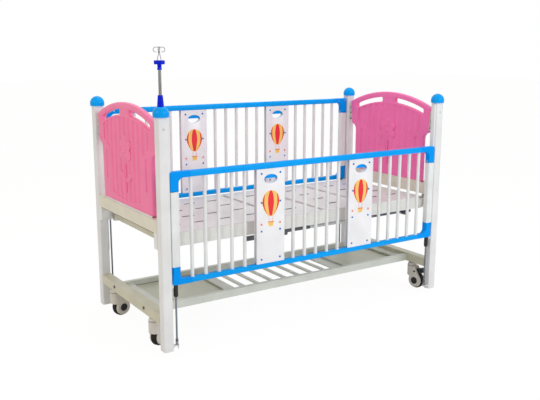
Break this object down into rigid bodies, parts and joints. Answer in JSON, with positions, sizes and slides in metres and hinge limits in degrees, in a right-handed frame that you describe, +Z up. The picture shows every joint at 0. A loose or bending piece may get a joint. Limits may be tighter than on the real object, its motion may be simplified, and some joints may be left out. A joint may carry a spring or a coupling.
{
  "type": "pediatric hospital cot",
  "caption": "Pediatric hospital cot with vertically sliding barred side rails, moulded end boards, a sectioned deck with a lifting back, a storage shelf, braked castors and an infusion pole.",
  "frame": {"origin": "on the floor under the middle of the cot", "axes": "+X along the cot from the head end with the infusion pole to the foot end, +Y across the cot from the lowered front rail to the raised back rail, +Z up"},
  "size_m": [1.8332, 0.8758, 1.464],
  "materials": {
    "post_paint": "gloss",
    "frame_paint": "gloss",
    "shelf_paint": "satin",
    "deck_paint": "satin",
    "blue_paint": "gloss",
    "blue_plastic": "gloss",
    "royal_plastic": "gloss",
    "pink_plastic": "gloss",
    "white_plastic": "gloss",
    "white_aluminium": "gloss",
    "black_plastic": "matte",
    "castor_plastic": "satin",
    "dark_steel": "satin",
    "bright_steel": "satin",
    "pole_chrome": "polished",
    "tyre_rubber": "matte"
  },
  "bodies": {
    "frame": {"post_head_front": "post_paint", "post_head_back": "post_paint", "post_foot_front": "post_paint", "post_foot_back": "post_paint", "post_caps": "blue_plastic", "upper_end_beams": "frame_paint", "lower_end_beams": "frame_paint", "headboard": "pink_plastic", "footboard": "pink_plastic", "board_bolts": "dark_steel", "spring_rods": "bright_steel", "rod_feet": "black_plastic", "deck_frame": "deck_paint", "deck_brackets": "frame_paint", "seat_section": "deck_paint", "thigh_section": "deck_paint", "calf_section": "deck_paint", "crank_bearing": "dark_steel", "shelf_rails": "shelf_paint", "shelf_trays": "shelf_paint", "shelf_slats": "shelf_paint", "castor_stems": "bright_steel"},
    "front_rail": {"front_rail_tubes": "blue_paint", "front_rail_corners": "blue_plastic", "front_rail_end_profiles": "white_aluminium", "front_rail_bars": "white_aluminium", "front_rail_panels": "white_plastic", "front_rail_panel_caps": "blue_plastic", "front_rail_gas_cylinders": "dark_steel"},
    "front_rail_left_release": {"front_rail_left_trigger": "blue_plastic"},
    "front_rail_right_release": {"front_rail_right_trigger": "blue_plastic"},
    "back_rail": {"back_rail_tubes": "blue_paint", "back_rail_corners": "blue_plastic", "back_rail_end_profiles": "white_aluminium", "back_rail_bars": "white_aluminium", "back_rail_panels": "white_plastic", "back_rail_panel_caps": "blue_plastic", "back_rail_gas_cylinders": "dark_steel"},
    "back_rail_left_release": {"back_rail_left_trigger": "blue_plastic"},
    "back_rail_right_release": {"back_rail_right_trigger": "blue_plastic"},
    "back_lift": {"back_section": "deck_paint"},
    "push_rod": {"push_rod": "dark_steel"},
    "crank": {"crank_spindle": "bright_steel"},
    "crank_grip": {"crank_grip": "black_plastic"},
    "collar": {"pole_collar": "royal_plastic"},
    "pole": {"infusion_pole": "pole_chrome", "pole_head": "royal_plastic", "pole_hooks": "bright_steel"},
    "castor_head_front": {"castor_housing_head_front": "castor_plastic"},
    "wheel_head_front": {"castor_wheel_head_front": "tyre_rubber"},
    "pedal_head_front": {"castor_pedal_head_front": "black_plastic"},
    "castor_head_back": {"castor_housing_head_back": "castor_plastic"},
    "wheel_head_back": {"castor_wheel_head_back": "tyre_rubber"},
    "pedal_head_back": {"castor_pedal_head_back": "black_plastic"},
    "castor_foot_front": {"castor_housing_foot_front": "castor_plastic"},
    "wheel_foot_front": {"castor_wheel_foot_front": "tyre_rubber"},
    "pedal_foot_front": {"castor_pedal_foot_front": "black_plastic"},
    "castor_foot_back": {"castor_housing_foot_back": "castor_plastic"},
    "wheel_foot_back": {"castor_wheel_foot_back": "tyre_rubber"},
    "pedal_foot_back": {"castor_pedal_foot_back": "black_plastic"}
  },
  "joints": [
    {"name": "front_rail_slide", "type": "slide", "parent": "frame", "child": "front_rail", "axis": [0, 0, 1], "range_m": [0, 0.232]},
    {"name": "back_rail_slide", "type": "slide", "parent": "frame", "child": "back_rail", "axis": [0, 0, 1], "range_m": [-0.232, 0]},
    {"name": "front_rail_left_trigger_pull", "type": "slide", "parent": "front_rail", "child": "front_rail_left_release", "axis": [0, 0, 1], "range_m": [0, 0.01], "stiffness_N_per_m": 500, "springref_m": -0.004},
    {"name": "front_rail_right_trigger_pull", "type": "slide", "parent": "front_rail", "child": "front_rail_right_release", "axis": [0, 0, 1], "range_m": [0, 0.01], "stiffness_N_per_m": 500, "springref_m": -0.004},
    {"name": "back_rail_left_trigger_pull", "type": "slide", "parent": "back_rail", "child": "back_rail_left_release", "axis": [0, 0, 1], "range_m": [0, 0.01], "stiffness_N_per_m": 500, "springref_m": -0.004},
    {"name": "back_rail_right_trigger_pull", "type": "slide", "parent": "back_rail", "child": "back_rail_right_release", "axis": [0, 0, 1], "range_m": [0, 0.01], "stiffness_N_per_m": 500, "springref_m": -0.004},
    {"name": "back_section_lift", "type": "hinge", "parent": "frame", "child": "back_lift", "pos_m": [-0.159, 0, 0.578], "axis": [0, 1, 0], "range_deg": [0, 70]},
    {"name": "push_rod_slide", "type": "slide", "parent": "frame", "child": "push_rod", "axis": [1, 0, 0], "range_m": [-0.1265, 0]},
    {"name": "crank_turn", "type": "hinge", "parent": "frame", "child": "crank", "pos_m": [0.6, -0.215, 0.478], "axis": [1, 0, 0], "range_deg": [-4321, 0]},
    {"name": "crank_grip_fold", "type": "hinge", "parent": "crank", "child": "crank_grip", "pos_m": [0.884, -0.12, 0.478], "axis": [0, 0, 1], "range_deg": [0, 90]},
    {"name": "collar_twist", "type": "hinge", "parent": "frame", "child": "collar", "pos_m": [-0.876, -0.4, 1.225], "axis": [0, 0, 1], "range_deg": [0, 90]},
    {"name": "pole_slide", "type": "slide", "parent": "frame", "child": "pole", "axis": [0, 0, 1], "range_m": [-0.1, 0.4]},
    {"name": "castor_head_front_swivel", "type": "hinge", "parent": "frame", "child": "castor_head_front", "pos_m": [-0.876, -0.255, 0.13], "axis": [0, 0, 1], "continuous": true},
    {"name": "wheel_head_front_roll", "type": "hinge", "parent": "castor_head_front", "child": "wheel_head_front", "pos_m": [-0.84436, -0.23782, 0.05], "axis": [-0.4772, 0.8788, 0], "continuous": true},
    {"name": "pedal_head_front_press", "type": "hinge", "parent": "castor_head_front", "child": "pedal_head_front", "pos_m": [-0.84085, -0.23591, 0.112], "axis": [-0.4772, 0.8788, 0], "range_deg": [0, 12]},
    {"name": "castor_head_back_swivel", "type": "hinge", "parent": "frame", "child": "castor_head_back", "pos_m": [-0.876, 0.255, 0.13], "axis": [0, 0, 1], "continuous": true},
    {"name": "wheel_head_back_roll", "type": "hinge", "parent": "castor_head_back", "child": "wheel_head_back", "pos_m": [-0.84072, 0.26218, 0.05], "axis": [-0.1994, 0.9799, 0], "continuous": true},
    {"name": "pedal_head_back_press", "type": "hinge", "parent": "castor_head_back", "child": "pedal_head_back", "pos_m": [-0.8368, 0.26298, 0.112], "axis": [-0.1994, 0.9799, 0], "range_deg": [0, 12]},
    {"name": "castor_foot_front_swivel", "type": "hinge", "parent": "frame", "child": "castor_foot_front", "pos_m": [0.876, -0.255, 0.13], "axis": [0, 0, 1], "continuous": true},
    {"name": "wheel_foot_front_roll", "type": "hinge", "parent": "castor_foot_front", "child": "wheel_foot_front", "pos_m": [0.88318, -0.29028, 0.05], "axis": [0.9799, 0.1994, 0], "continuous": true},
    {"name": "pedal_foot_front_press", "type": "hinge", "parent": "castor_foot_front", "child": "pedal_foot_front", "pos_m": [0.88397, -0.2942, 0.112], "axis": [0.9799, 0.1994, 0], "range_deg": [0, 12]},
    {"name": "castor_foot_back_swivel", "type": "hinge", "parent": "frame", "child": "castor_foot_back", "pos_m": [0.876, 0.255, 0.13], "axis": [0, 0, 1], "continuous": true},
    {"name": "wheel_foot_back_roll", "type": "hinge", "parent": "castor_foot_back", "child": "wheel_foot_back", "pos_m": [0.86975, 0.29045, 0.05], "axis": [-0.9848, -0.1736, 0], "continuous": true},
    {"name": "pedal_foot_back_press", "type": "hinge", "parent": "castor_foot_back", "child": "pedal_foot_back", "pos_m": [0.86905, 0.29439, 0.112], "axis": [-0.9848, -0.1736, 0], "range_deg": [0, 12]}
  ],
  "couplings": [
    {"joint": "push_rod_slide", "follows": "back_section_lift", "m_per_rad": -0.10329},
    {"joint": "crank_turn", "follows": "back_section_lift", "ratio": -61.714}
  ]
}
